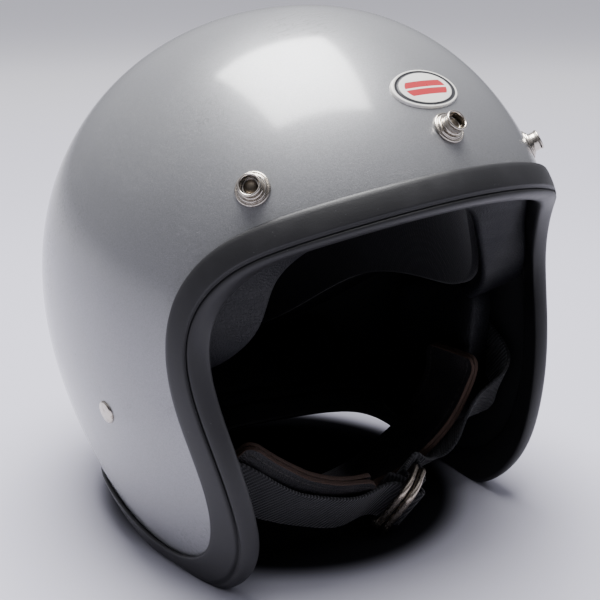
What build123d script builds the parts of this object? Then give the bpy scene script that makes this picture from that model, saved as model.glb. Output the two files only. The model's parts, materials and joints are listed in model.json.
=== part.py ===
from build123d import *
import math
import os

os.makedirs("parts", exist_ok=True)

# Open face helmet. +Z is up, the helmet faces -Y and stands on Z = 0. The wearer's right side is -X.
# The model is laid out around the crown axis (X = 0, Y = 0) and moved at the end, so that its origin
# is the middle of its footprint.

# Shell
shell_width = 242
shell_height = 254
front_reach = 140  # crown axis to the front of the dome
rear_reach = 162  # crown axis to the back of the dome
shell_wall = 4

# Dome shape: control values of a fifth-order Bezier curve from the crown to below the rim,
# as shares of the height, the half width, the front reach and the rear reach
height_shape = (1, 1, 0.785, 0.442, 0.213, -0.045)
width_shape = (0, 0.631, 1.094, 1.140, 0.964, 0.710)
front_shape = (0, 0.452, 1.001, 0.965, 1.004, 1.032)
rear_shape = (0, 0.498, 1.040, 1.219, 0.998, 0.529)

# Rim in side view, from above the brow round the cheek to the nape: Y, Z of the beading's outer edge
# and how far the beading covers the shell there
rim = (
    (-132, 210, 16),
    (-103, 192, 16),
    (-83, 181, 16),
    (-64, 167.5, 15.5),
    (-51, 146, 14),
    (-48, 124, 13),
    (-51, 99, 14),
    (-57, 72, 14.5),
    (-58, 50, 16),
    (-50.5, 28.5, 18.5),
    (-38, 16.5, 18),
    (-18, 10.6, 10.6),
    (0, 11.8, 11.5),
    (22, 18, 12.5),
    (48, 23, 13),
    (76, 19, 13),
    (102, 12.5, 12.5),
    (135, 12.5, 12.5),
)

# Edge beading, a rubber channel over the shell's edge
beading_proud = 3
beading_lip = 2.5
beading_nose = 3  # rubber beyond the shell's edge

# Lining
fit_gap = 0.3
liner_thickness = 28
lining_thickness = 3
crown_pad_radius = 48
crown_pad_thickness = 6
brow_band_width = 9
brow_band_rear = -36
cheek_pad_thickness = 30
cheek_pad_step = 18  # rivet to the end of the flat behind the strap
cheek_pad_front = -34
cheek_pad_rear = 30
neck_roll_thickness = 22
strap_channel_wall = 98.5  # crown axis to the cheek pads' flat back, where the strap passes

# Visor snaps: X and Z of each stud on the brow
snap_places = {"right": (-82.6, 188.2), "centre": (0, 207.6), "left": (82.6, 188.2)}
flange_radius = 7.35
flange_height = 1.3
step_radius = 6.1
step_height = 0.9
barrel_radius = 4.8
barrel_height = 4.6
barrel_wall = 1.0
snap_shank_radius = 1.6
snap_rivet_head = 2.9
washer_radius = 6
washer_thickness = 0.8

# Badge, an oval plate on the brow
badge_height = 222.5
badge_length = 37
badge_width = 21
badge_thickness = 0.8

# Chin strap
strap_pivot_y = -1.5
strap_pivot_z = 81
rivet_head_radius = 5.4
rivet_head_height = 1.5
rivet_shank_radius = 2.4
rivet_clearance = 0.1
webbing_width = 25
webbing_thickness = 1.8
pad_width = 34
leather_thickness = 2.6
pad_gap = 0.4

# D-rings
ring_wire_radius = 1.8
ring_inside_width = 30
ring_inside_height = 16
ring_rear_corner = 2.5
ring_front_corner = 7.5
ring_gap = 0.5


def dome(inset):
    """Closed solid of the dome with every reach smaller by inset: four rational Bezier patches and a base"""
    top = shell_height - inset
    half_width = shell_width / 2 - inset
    quarters = []
    for side in (-1, 1):
        for way, reach, shape in ((-1, front_reach - inset, front_shape), (1, rear_reach - inset, rear_shape)):
            rows = []
            for up, across, along in zip(height_shape, width_shape, shape):
                x = side * half_width * across
                y = way * reach * along
                z = top * up
                rows.append([(x, 0, z), (x, y, z), (0, y, z)])
            quarter_weights = [1, math.sqrt(0.5), 1]
            quarters.append(Face.make_bezier_surface(rows, [quarter_weights] * len(rows)))
    base_edges = [quarter.edges().sort_by(Axis.Z)[0] for quarter in quarters]
    base = Face(Wire(base_edges))
    solid = Solid(Shell(quarters + [base]))
    return solid if solid.volume > 0 else Solid(Shell([-face for face in quarters + [base]]))


def moved_line(line, distances):
    """Side-view line with each point moved towards the opening by its distance"""
    result = []
    for index, ((y, z), distance) in enumerate(zip(line, distances)):
        before = line[max(index - 1, 0)]
        after = line[min(index + 1, len(line) - 1)]
        run = math.hypot(after[0] - before[0], after[1] - before[1])
        out_y = (after[1] - before[1]) / run
        out_z = (before[0] - after[0]) / run
        result.append((y + out_y * distance, z + out_z * distance))
    return result


def rim_line(share, less=0):
    """Side view of the rim, moved towards the opening by a share of the cover there"""
    places = [(y, z) for y, z, cover in rim]
    return moved_line(places, [cover * share - less for y, z, cover in rim])


def above(line):
    """Side-view region on the helmet's side of a rim line, extruded across the whole width"""
    with BuildPart() as region:
        with BuildSketch(Plane.YZ):
            with BuildLine():
                edge = Spline(line)
                Polyline(edge @ 1, (rear_reach * 2, 0), (rear_reach * 2, shell_height * 2),
                         (-front_reach * 2, shell_height * 2), (-front_reach * 2, line[0][1]), edge @ 0)
            make_face()
        extrude(amount=shell_width, both=True)
    return region.part


def side_block(outline):
    """Closed side-view outline extruded across the whole width"""
    with BuildPart() as block:
        with BuildSketch(Plane.YZ):
            with BuildLine():
                Spline(outline, periodic=True)
            make_face()
        extrude(amount=shell_width, both=True)
    return block.part


def on_shell(x, z):
    """Plane that touches the front of the shell at X and Z, its Z axis pointing out"""
    hits = shell_outside.find_intersection_points(Axis((x, -2 * front_reach, z), (0, 1, 0)))
    point, normal = sorted(hits, key=lambda hit: hit[0].Y)[0]
    if normal.Y > 0:
        normal = -normal
    return Plane(origin=point, x_dir=(1, 0, 0) if abs(normal.X) < 0.9 else (0, 1, 0), z_dir=normal)


def ribbon(stations, width, thickness, raised=0):
    """Flat strap through stations, each a centre point and the direction of the strap's width there"""
    with BuildPart() as strap:
        for index, (centre, across) in enumerate(stations):
            before = Vector(*stations[max(index - 1, 0)][0])
            after = Vector(*stations[min(index + 1, len(stations) - 1)][0])
            ahead = (after - before).normalized()
            across = Vector(*across)
            across = (across - ahead * across.dot(ahead)).normalized()
            with BuildSketch(Plane(origin=centre, x_dir=across, z_dir=ahead)):
                with Locations((0, raised)):
                    Rectangle(width, thickness)
        loft(ruled=True)
    return strap.part


shell_outside = dome(0)
wall_inside = dome(shell_wall)
nose_region = above(rim_line(1))
shell_region = above(rim_line(1, beading_nose))
rim_region = above(rim_line(0))
table_space = Pos(0, 0, -shell_height / 2) * Box(4 * shell_width, 4 * shell_width, shell_height)

snap_planes = {name: on_shell(x, z) for name, (x, z) in snap_places.items()}
badge_plane = on_shell(0, badge_height)

# Shell, with a hole for each snap rivet and strap rivet
with BuildPart() as shell:
    add(shell_outside)
    add(wall_inside, mode=Mode.SUBTRACT)
    add(shell_region, mode=Mode.INTERSECT)
    with Locations(*snap_planes.values()):
        Cylinder(snap_shank_radius, 6 * shell_wall, mode=Mode.SUBTRACT)
    with Locations(Plane.YZ.location * Pos(strap_pivot_y, strap_pivot_z, 0)):
        Cylinder(rivet_shank_radius, 2 * shell_width, mode=Mode.SUBTRACT)

# Edge beading, wrapped round the rim inside and out
with BuildPart() as edge_beading:
    add(dome(-beading_proud))
    add(dome(shell_wall + beading_lip), mode=Mode.SUBTRACT)
    add(nose_region, mode=Mode.INTERSECT)
    add(rim_region, mode=Mode.SUBTRACT)
    add(table_space, mode=Mode.SUBTRACT)
    add(shell.part, mode=Mode.SUBTRACT)

# Impact liner, crown and brow, cut back for the snaps' backing washers
liner_outer = shell_wall + fit_gap
liner_inner = liner_outer + liner_thickness
liner_line = ((-150, 222), (-103, 194), (-82, 183), (-62, 168.5), (-48, 146), (-44, 124), (-30, 111), (0, 106),
              (45, 100), (80, 78), (108, 58), (150, 52))
liner_region = above(liner_line)
with BuildPart() as impact_liner:
    add(dome(liner_outer))
    add(dome(liner_inner), mode=Mode.SUBTRACT)
    add(liner_region, mode=Mode.INTERSECT)
    with Locations(*snap_planes.values()):
        Cylinder(washer_radius + fit_gap, 2 * (shell_wall + 3 * washer_thickness), mode=Mode.SUBTRACT)

# Comfort lining inside the liner, and the sewn pad at its crown
lining_outer = liner_inner + fit_gap
lining_inner = lining_outer + lining_thickness
with BuildPart() as crown_lining:
    add(dome(lining_outer))
    add(dome(lining_inner), mode=Mode.SUBTRACT)
    add(liner_region, mode=Mode.INTERSECT)

with BuildPart() as crown_pad:
    add(dome(lining_inner + fit_gap))
    add(dome(lining_inner + fit_gap + crown_pad_thickness), mode=Mode.SUBTRACT)
    with Locations((0, 0, shell_height)):
        Cylinder(crown_pad_radius, shell_height, mode=Mode.INTERSECT)

# Brow band, which covers the front edge of the liner and lining
band_region = above(moved_line(liner_line, [brow_band_width] * len(liner_line)))
liner_clear = above(moved_line(liner_line, [fit_gap] * len(liner_line)))
with BuildPart() as brow_band:
    add(dome(shell_wall + beading_lip + fit_gap))
    add(dome(lining_inner), mode=Mode.SUBTRACT)
    add(band_region, mode=Mode.INTERSECT)
    add(liner_clear, mode=Mode.SUBTRACT)
    with Locations((0, brow_band_rear - front_reach, shell_height / 2)):
        Box(2 * shell_width, 2 * front_reach, 2 * shell_height, mode=Mode.INTERSECT)

# Cheek pads: full thickness behind the strap rivet, and a flat back that leaves a channel for the strap
cheek_outline = ((cheek_pad_front, 104), (cheek_pad_front - 1, 80), (cheek_pad_front - 1, 50), (-31, 30),
                 (-15, 20), (8, 20), (cheek_pad_rear - 3, 27), (cheek_pad_rear, 50), (cheek_pad_rear, 75),
                 (cheek_pad_rear - 3, 96), (0, 104))
with BuildPart() as cheek_pads:
    add(side_block(cheek_outline))
    add(dome(liner_outer), mode=Mode.INTERSECT)
    add(dome(liner_outer + cheek_pad_thickness), mode=Mode.SUBTRACT)
    add(liner_region, mode=Mode.SUBTRACT)
    for side in (-1, 1):
        with Locations((side * (strap_channel_wall + shell_width / 2), strap_pivot_y + cheek_pad_step - shell_width, 0)):
            Box(shell_width, 2 * shell_width, 2 * shell_height, mode=Mode.SUBTRACT)

# Neck roll round the nape
neck_outline = ((cheek_pad_rear + 4, 94), (cheek_pad_rear + 4, 60), (cheek_pad_rear + 6, 34), (58, 30), (84, 24),
                (112, 18), (140, 20), (140, 48), (108, 53), (76, 76), (45, 94))
with BuildPart() as neck_roll:
    add(side_block(neck_outline))
    add(dome(liner_outer), mode=Mode.INTERSECT)
    add(dome(liner_outer + neck_roll_thickness), mode=Mode.SUBTRACT)
    add(liner_region, mode=Mode.SUBTRACT)


def turned(profile, place):
    """Solid of revolution from a radius and height profile, stood on a place"""
    with BuildPart() as body:
        with BuildSketch(Plane.XZ):
            with BuildLine():
                Polyline(*profile, close=True)
            make_face()
        revolve(axis=Axis.Z)
    return place.location * body.part


# Snap fasteners, each a stepped flange, a barrel, a hollow rivet and a washer behind the wall
seat = 0.25  # how far a flat flange beds into the curved shell
washer_seat = 0.35
flange_top = flange_height - seat
step_top = flange_top + step_height
floor_top = step_top + barrel_wall
barrel_top = step_top + barrel_height
washer_top = -shell_wall - seat - washer_seat
washer_low = washer_top - washer_thickness
flange_profile = ((snap_shank_radius, -seat), (flange_radius, -seat), (flange_radius, flange_top - 0.4),
                  (flange_radius - 0.4, flange_top), (step_radius, flange_top), (step_radius, step_top - 0.3),
                  (step_radius - 0.3, step_top), (snap_shank_radius, step_top))
barrel_profile = ((snap_shank_radius, step_top), (barrel_radius, step_top),
                  (barrel_radius, barrel_top - 0.4), (barrel_radius - 0.3, barrel_top),
                  (barrel_radius - barrel_wall, barrel_top - 0.2),
                  (barrel_radius - barrel_wall, floor_top), (snap_shank_radius, floor_top))
snap_rivet_profile = ((0, washer_low - 0.7), (snap_rivet_head, washer_low - 0.7), (snap_rivet_head, washer_low),
                      (snap_shank_radius, washer_low), (snap_shank_radius, floor_top), (snap_rivet_head, floor_top),
                      (snap_rivet_head - 0.5, floor_top + 0.7), (snap_rivet_head * 0.5, floor_top + 1.2),
                      (0, floor_top + 1.4))
washer_profile = ((snap_shank_radius, washer_low), (washer_radius, washer_low), (washer_radius, washer_top),
                  (snap_shank_radius, washer_top))
snap_parts = {}
for name, place in snap_planes.items():
    snap_parts["snap_flange_" + name] = turned(flange_profile, place)
    snap_parts["snap_barrel_" + name] = turned(barrel_profile, place)
    snap_parts["snap_rivet_" + name] = turned(snap_rivet_profile, place)
snap_washers = Compound([turned(washer_profile, place) for place in snap_planes.values()])
snap_seats = [turned(((0, -seat), (flange_radius, -seat), (flange_radius, 3), (0, 3)), place)
              for place in snap_planes.values()]
shell_part = shell.part
for snap_seat in snap_seats:
    shell_part = shell_part - snap_seat

# Badge, an oval plate that follows the shell
with BuildPart() as badge:
    with BuildSketch(badge_plane.offset(-4)):
        Ellipse(badge_length / 2, badge_width / 2)
    extrude(amount=8)
    add(dome(-badge_thickness), mode=Mode.INTERSECT)
    add(shell_outside, mode=Mode.SUBTRACT)

# Strap rivets: domed head outside, shank through the shell and webbing, and a clenched tail and washer inside
webbing_x = 109.6  # middle of the webbing at the rivet
webbing_inner = webbing_x - webbing_thickness / 2
rivet_washer_face = webbing_inner - fit_gap
rivet_tail_face = rivet_washer_face - washer_thickness
head_profile = ((0, -0.3), (rivet_head_radius, -0.3), (rivet_head_radius, 0.3), (rivet_head_radius - 0.5, 0.8),
                (rivet_head_radius * 0.6, rivet_head_height * 0.85), (0, rivet_head_height))
strap_rivets = {}
rivet_washers = {}
for name, side in (("right", -1), ("left", 1)):
    hits = shell_outside.find_intersection_points(Axis((side * shell_width, strap_pivot_y, strap_pivot_z),
                                                       (-side, 0, 0)))
    point, normal = sorted(hits, key=lambda hit: -side * hit[0].X)[0]
    outward = normal if normal.X * side > 0 else -normal
    head = turned(head_profile, Plane(origin=point, x_dir=(0, 1, 0), z_dir=outward))
    with BuildPart() as rivet:
        with BuildSketch(Plane.YZ.offset(side * (rivet_tail_face - 1.2))):
            with Locations((strap_pivot_y, strap_pivot_z)):
                Circle(rivet_shank_radius)
        extrude(amount=side * (abs(point.X) - rivet_tail_face + 1.2))
        with BuildSketch(Plane.YZ.offset(side * rivet_tail_face)):
            with Locations((strap_pivot_y, strap_pivot_z)):
                Circle(rivet_shank_radius + 2)
        extrude(amount=-side * 1.2)
    strap_rivets[name] = rivet.part + head
    shell_part = shell_part - head
    with BuildPart() as washer:
        with BuildSketch(Plane.YZ.offset(side * rivet_tail_face)):
            with Locations((strap_pivot_y, strap_pivot_z)):
                Circle(washer_radius + 2)
                Circle(rivet_shank_radius, mode=Mode.SUBTRACT)
        extrude(amount=side * washer_thickness)
    rivet_washers[name] = washer.part

# D-rings. Their long sides lie along the strap's width; the straight side is the far one, in the left
# strap's loop, and the right strap passes through both rings
ring_along = Vector(0.18, -0.52, 0.83).normalized()
ring_back = Vector(0.81, 0.55, 0.16)
ring_back = (ring_back - ring_along * ring_back.dot(ring_along)).normalized()
ring_normal = ring_along.cross(ring_back)
ring_centre = Vector(8.4, -57.1, 20)
ring_pitch = 2 * ring_wire_radius + ring_gap
ring_shift = 0.2
ring_reach = ring_inside_height / 2 + ring_wire_radius
ring_half = ring_inside_width / 2 + ring_wire_radius
ring_origins = {"inner": ring_centre, "outer": ring_centre - ring_normal * ring_pitch + ring_along * ring_shift}
d_rings = {}
for name, origin in ring_origins.items():
    ring_plane = Plane(origin=origin, x_dir=ring_along, z_dir=ring_normal)
    with BuildPart() as ring:
        with BuildLine(ring_plane) as ring_path:
            corners = ((-ring_half, ring_reach), (ring_half, ring_reach), (ring_half, -ring_reach),
                       (-ring_half, -ring_reach))
            FilletPolyline(*corners, close=True,
                           radius=[ring_rear_corner, ring_rear_corner, ring_front_corner, ring_front_corner])
        with BuildSketch(Plane(origin=ring_path.line @ 0, z_dir=ring_path.line % 0)):
            Circle(ring_wire_radius)
        sweep()
    d_rings[name] = ring.part

# Chin strap webbing. Stations run from behind the rivet, through the channel behind the cheek pad,
# out in front of it and down to the rings
hang = (0, 0.38, -0.92)
ring_across = tuple(-ring_along)


def sided(stations, side):
    return [((side * x, y, z), across) for (x, y, z), across in stations]


def near_ring(back, out):
    """Point beside the rings, from the inner ring's centre"""
    return tuple(ring_centre + ring_back * back + ring_normal * out)


strap_start = [
    ((webbing_x, 9.5, 85.6), hang),
    ((webbing_x, strap_pivot_y, strap_pivot_z), hang),
    ((webbing_x, -10.5, 77.3), hang),
    ((105.5, -24, 71.5), hang),
    ((101, -38, 65.5), hang),
    ((95.5, -46.5, 61), hang),
    ((88, -50, 56), hang),
]
loop_radius = ring_wire_radius + webbing_thickness / 2 + 3 * fit_gap
right_run = [
    ((-74, -51, 45.5), (0, 0.5, -0.87)),
    ((-56, -52.5, 34), (0, 0.6, -0.8)),
    ((-38, -54.5, 26.5), (-0.07, 0.6, -0.8)),
    ((-18, -56.5, 21.8), (-0.12, 0.56, -0.82)),
    (near_ring(-4.5, 4), ring_across),
    (near_ring(-3, 0), ring_across),
    (near_ring(-2.5, -4.6), ring_across),
    (near_ring(-2.2, -7.4), ring_across),
    (near_ring(-1.4, -9), ring_across),
    (near_ring(0.2, -9.6), ring_across),
    (near_ring(1.8, -9), ring_across),
    (near_ring(2.5, -7.4), ring_across),
    (near_ring(2.6, -4.6), ring_across),
    (near_ring(2.4, 0), ring_across),
    (near_ring(1, 5), ring_across),
    (near_ring(-1.5, 10), ring_across),
]
left_run = [
    ((78, -48, 49), (0, 0.5, -0.87)),
    ((66, -43, 35.5), (0, 0.7, -0.7)),
    ((54, -39.5, 22.5), (0, 0.8, -0.6)),
    ((42, -38.8, 19.5), (-0.05, 0.75, -0.65)),
    ((33, -41, 21), (-0.15, 0.62, -0.77)),
    (near_ring(23, 1.6), ring_across),
    (near_ring(15, 2.9), ring_across),
    (near_ring(ring_reach, loop_radius), ring_across),
    (near_ring(ring_reach - loop_radius * 0.7, loop_radius * 0.7), ring_across),
    (near_ring(ring_reach - loop_radius, 0), ring_across),
    (near_ring(ring_reach - loop_radius, -ring_pitch), ring_across),
    (near_ring(ring_reach - loop_radius * 0.7, -ring_pitch - loop_radius * 0.7), ring_across),
    (near_ring(ring_reach, -ring_pitch - loop_radius), ring_across),
    (near_ring(15, -5.4), ring_across),
    (near_ring(22, -1.2), ring_across),
]
webbings = {
    "right": ribbon(sided(strap_start, -1) + right_run, webbing_width, webbing_thickness),
    "left": ribbon(sided(strap_start, 1) + left_run, webbing_width, webbing_thickness),
}
for name in webbings:
    with BuildPart() as pierced:
        add(webbings[name])
        with BuildSketch(Plane.YZ):
            with Locations((strap_pivot_y, strap_pivot_z)):
                Circle(rivet_shank_radius + rivet_clearance)
        extrude(amount=shell_width, both=True, mode=Mode.SUBTRACT)
    webbings[name] = pierced.part

# Comfort pads, two leather layers each
pad_runs = {
    "right": [
        ((-86, -46.5, 62.5), hang),
        ((-74, -48.5, 53), (0, 0.5, -0.87)),
        ((-56, -50.5, 41), (0, 0.6, -0.8)),
        ((-38, -52.2, 32), (-0.07, 0.6, -0.8)),
        ((-22, -52.8, 27), (-0.12, 0.56, -0.82)),
        ((-11, -53, 25), (-0.12, 0.56, -0.82)),
    ],
    "left": [
        ((73, -31, 76), (0, 0.97, -0.25)),
        ((73, -31, 66), (0, 0.97, -0.25)),
        ((69, -31, 56), (0, 0.97, -0.25)),
        ((60, -28, 40), (0, 0.97, -0.25)),
        ((48, -22, 25), (0, 0.97, -0.25)),
        ((34, -15, 13.5), (0, 0.97, -0.2)),
        ((4, -11.5, 7.5), (0, 0.98, -0.18)),
    ],
}


pads = {}
for name, stations in pad_runs.items():
    inward = 1 if name == "right" else -1
    half = inward * leather_thickness / 2
    pads["chin_pad_" + name + "_inner"] = ribbon(stations, pad_width, leather_thickness, half)
    pads["chin_pad_" + name + "_outer"] = ribbon(stations, pad_width, leather_thickness, -half)

# Every piece by node name
pieces = {
    "shell": shell_part,
    "edge_beading": edge_beading.part,
    "impact_liner": impact_liner.part,
    "crown_lining": crown_lining.part,
    "crown_pad": crown_pad.part,
    "brow_band": brow_band.part,
    "cheek_pad_right": cheek_pads.part.solids().sort_by(Axis.X)[0],
    "cheek_pad_left": cheek_pads.part.solids().sort_by(Axis.X)[-1],
    "neck_roll": neck_roll.part,
    **snap_parts,
    "snap_washers": snap_washers,
    "badge": badge.part,
    "strap_rivet_right": strap_rivets["right"],
    "strap_rivet_left": strap_rivets["left"],
    "rivet_washer_right": rivet_washers["right"],
    "rivet_washer_left": rivet_washers["left"],
    "strap_webbing_right": webbings["right"],
    "strap_webbing_left": webbings["left"],
    **pads,
    "d_ring_inner": d_rings["inner"],
    "d_ring_outer": d_rings["outer"],
}

# Move the origin to the middle of the footprint and write each piece
reach = Compound([pieces["shell"], pieces["edge_beading"]]).bounding_box()
to_origin = Location((0, -(reach.min.Y + reach.max.Y) / 2, 0))
for name, piece in pieces.items():
    placed = piece.moved(to_origin)
    placed.label = name
    export_step(placed, "parts/" + name + ".step")

print("moved by", to_origin.position)
print("ring centres", [tuple(origin + to_origin.position) for origin in ring_origins.values()])
print("ring straight sides", [tuple(origin + ring_back * ring_reach + to_origin.position)
                              for origin in ring_origins.values()], "along", tuple(ring_along))
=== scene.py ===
import json
import math

import bpy
import numpy as np
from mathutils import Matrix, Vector


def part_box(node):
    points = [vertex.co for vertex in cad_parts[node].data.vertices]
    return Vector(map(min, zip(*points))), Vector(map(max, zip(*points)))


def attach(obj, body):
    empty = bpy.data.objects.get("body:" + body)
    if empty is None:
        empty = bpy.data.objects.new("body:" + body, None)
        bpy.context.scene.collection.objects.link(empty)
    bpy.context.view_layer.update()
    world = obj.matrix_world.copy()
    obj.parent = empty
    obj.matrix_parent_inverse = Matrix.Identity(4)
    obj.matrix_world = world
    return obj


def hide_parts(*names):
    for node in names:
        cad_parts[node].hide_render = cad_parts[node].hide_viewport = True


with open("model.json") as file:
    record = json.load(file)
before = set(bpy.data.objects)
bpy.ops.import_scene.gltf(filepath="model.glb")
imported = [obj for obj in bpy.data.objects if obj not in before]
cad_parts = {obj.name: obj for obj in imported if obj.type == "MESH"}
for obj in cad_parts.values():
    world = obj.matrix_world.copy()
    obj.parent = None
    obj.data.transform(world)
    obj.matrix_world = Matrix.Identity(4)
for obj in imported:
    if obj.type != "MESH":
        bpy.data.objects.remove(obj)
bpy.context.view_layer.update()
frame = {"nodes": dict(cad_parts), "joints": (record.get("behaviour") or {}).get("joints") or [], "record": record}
record = frame["record"]
nodes = frame["nodes"]
mm = 0.001

# The helmet is laid out in millimetres round its crown axis, and the crown pad is centred on that axis.
padLow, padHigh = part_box("crown_pad")
crownY = (padLow.y + padHigh.y) / 2 / mm

# ---------------------------------------------------------------- camera

view = dict(azimuth=-38.9, elevation=17.3, distance=0.5781, lens=68.26, lookAt=(0, -0.01724, 0.1085))


def makeCamera():
    data = bpy.data.cameras.new("studioCamera")
    data.lens = view["lens"]
    camera = bpy.data.objects.new("studioCamera", data)
    bpy.context.scene.collection.objects.link(camera)
    turn, lift = math.radians(view["azimuth"]), math.radians(view["elevation"])
    back = Vector((math.sin(turn) * math.cos(lift), -math.cos(turn) * math.cos(lift), math.sin(lift)))
    camera.location = Vector(view["lookAt"]) + back * view["distance"]
    camera.rotation_mode = "QUATERNION"
    camera.rotation_quaternion = (-back).to_track_quat("-Z", "Y")
    bpy.context.scene.camera = camera


makeCamera()
print("camera placed")

# ---------------------------------------------------------------- dome and rim

dome = dict(
    height=254, halfWidth=121, front=140, rear=162, wall=4,
    heightShares=(1, 1, 0.785, 0.442, 0.213, -0.045),
    widthShares=(0, 0.631, 1.094, 1.140, 0.964, 0.710),
    frontShares=(0, 0.452, 1.001, 0.965, 1.004, 1.032),
    rearShares=(0, 0.498, 1.040, 1.219, 0.998, 0.529),
)
rim = np.array((
    (-132, 210, 16), (-103, 192, 16), (-83, 181, 16), (-64, 167.5, 15.5), (-51, 146, 14), (-48, 124, 13),
    (-51, 99, 14), (-57, 72, 14.5), (-58, 50, 16), (-50.5, 28.5, 18.5), (-38, 16.5, 18), (-18, 10.6, 10.6),
    (0, 11.8, 11.5), (22, 18, 12.5), (48, 23, 13), (76, 19, 13), (102, 12.5, 12.5), (135, 12.5, 12.5),
), float)


def bezier(shares, t):
    # fifth-order Bezier: each share times its binomial times powers of t and 1 - t
    return sum(share * math.comb(5, k) * (1 - t) ** (5 - k) * t ** k for k, share in enumerate(shares))


bisections = 34
finePlaces = 6001
fineTurns = 8001

tableT = np.linspace(0, 1, 4001)
tableDrop = np.sqrt(np.maximum(1 - bezier(dome["heightShares"], tableT), 0))


def section(z, inset):
    # half width, front reach and rear reach of the dome at height z
    # the Bezier parameter is read from a table by the root of the drop from the top
    drop = np.sqrt(np.clip(1 - z / (dome["height"] - inset), 0, None))
    t = np.interp(drop, tableDrop, tableT)
    return (
        (dome["halfWidth"] - inset) * bezier(dome["widthShares"], t),
        (dome["front"] - inset) * bezier(dome["frontShares"], t),
        (dome["rear"] - inset) * bezier(dome["rearShares"], t),
    )


def ellipseRest(y, z, inset):
    # 1 - (y / reach)^2, the share of the squared half width that is left at y
    width, front, rear = section(z, inset)
    reach = np.where(y < 0, front, rear)
    return 1 - (y / np.maximum(reach, 1e-6)) ** 2, width


def domeSide(y, z, inset):
    # half width of the dome at y and z, zero outside it
    rest, width = ellipseRest(y, z, inset)
    return width * np.sqrt(np.clip(rest, 0, None))


def domeRay(origin, direction, inset, far=260.0):
    # distance along each ray where it leaves the dome: bisection on inside or outside
    near = np.zeros(direction.shape[:-1])
    reach = np.full(direction.shape[:-1], far)
    inset = np.broadcast_to(inset, near.shape)
    for step in range(bisections):
        middle = (near + reach) / 2
        point = origin + direction * middle[..., None]
        rest, width = ellipseRest(point[..., 1], point[..., 2], inset)
        below = point[..., 2] < dome["height"] - inset
        inside = below & (point[..., 0] ** 2 < rest * width ** 2) & (rest > 0)
        near = np.where(inside, middle, near)
        reach = np.where(inside, reach, middle)
    return origin + direction * near[..., None]


def smoothLine(points, places, at):
    # natural cubic spline through the points at the given places, read at other places
    gaps = np.diff(places)
    count = len(places)
    matrix = np.zeros((count, count))
    right = np.zeros((count, points.shape[1]))
    matrix[0, 0] = matrix[-1, -1] = 1
    inner = np.arange(1, count - 1)
    matrix[inner, inner - 1] = gaps[:-1]
    matrix[inner, inner] = 2 * (gaps[:-1] + gaps[1:])
    matrix[inner, inner + 1] = gaps[1:]
    slopes = np.diff(points, axis=0) / gaps[:, None]
    right[1:-1] = 6 * np.diff(slopes, axis=0)
    bend = np.linalg.solve(matrix, right)
    k = np.clip(np.searchsorted(places, at, side="right") - 1, 0, count - 2)
    a = ((places[k + 1] - at) / gaps[k])[..., None]
    b = 1 - a
    h = gaps[k][..., None]
    chord = a * points[k] + b * points[k + 1]
    return chord + ((a ** 3 - a) * bend[k] + (b ** 3 - b) * bend[k + 1]) * h * h / 6


def spacing(points):
    return np.concatenate(([0], np.cumsum(np.linalg.norm(np.diff(points, axis=0), axis=1))))


def moved(line, distances):
    # each point goes towards the opening, at right angles to the run between its neighbours
    run = np.vstack((line[1] - line[0], line[2:] - line[:-2], line[-1] - line[-2]))
    run = run / np.linalg.norm(run, axis=1)[:, None]
    outward = np.column_stack((run[:, 1], -run[:, 0]))
    return line + outward * np.broadcast_to(distances, len(line))[:, None]


class SideLine:
    # a line in side view, extruded across the helmet; it meets the dome in a loop round both sides
    def __init__(self, points):
        self.points = np.array(points, float)
        self.places = spacing(self.points)

    def ends(self, points, inset):
        # places where the line crosses the middle plane at the front and at the back
        at = np.linspace(0, self.places[-1], finePlaces)
        line = smoothLine(points, self.places, at)
        rest, width = ellipseRest(line[:, 0], line[:, 1], inset)
        inside = np.flatnonzero(rest > 0)
        first, last = inside[0], inside[-1]
        start, stop = at[first], at[last]
        if first > 0:
            start = np.interp(0, rest[first - 1:first + 1], at[first - 1:first + 1])
        if last < len(at) - 1:
            stop = np.interp(0, rest[last:last + 2][::-1], at[last:last + 2][::-1])
        return start, stop

    def loop(self, turns, distances, inset):
        # turns run from 0 at the brow by way of the right side to pi at the nape and back by the left
        points = moved(self.points, distances)
        start, stop = self.ends(points, inset)
        at = start + (stop - start) * (1 - np.cos(turns)) / 2
        line = smoothLine(points, self.places, at)
        side = domeSide(line[..., 0], line[..., 1], inset)
        return np.stack((-np.sign(np.sin(turns)) * side, line[..., 0], line[..., 1]), -1)

    def evenTurns(self, count, distances, inset, low=0.0, high=2 * math.pi, closed=True):
        # turns at equal steps of length along the loop
        dense = np.linspace(low, high, fineTurns)
        length = spacing(self.loop(dense, distances, inset))
        steps = np.linspace(0, length[-1], count + 1 if closed else count)
        turns = np.interp(steps, length, dense)
        return turns[:-1] if closed else turns


rimSide = SideLine(rim[:, :2])
cover = rim[:, 2]

# ---------------------------------------------------------------- meshes


def toFrame(points):
    return (points + np.array((0, crownY, 0))) * mm


def gridFaces(rows, columns, wrapRows, wrapColumns):
    # quads between neighbours on the grid, with the last row or column joined to the first where it wraps
    i = np.arange(rows if wrapRows else rows - 1)
    j = np.arange(columns if wrapColumns else columns - 1)
    i, j = np.meshgrid(i, j, indexing="ij")
    k, m = (i + 1) % rows, (j + 1) % columns
    return np.stack((i * columns + j, k * columns + j, k * columns + m, i * columns + m), -1).reshape(-1, 4)


def fanFaces(ring, centre):
    # triangles from a ring of vertices to a centre vertex
    return np.stack((np.roll(ring, -1), ring, np.full(len(ring), centre)), -1)


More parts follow.
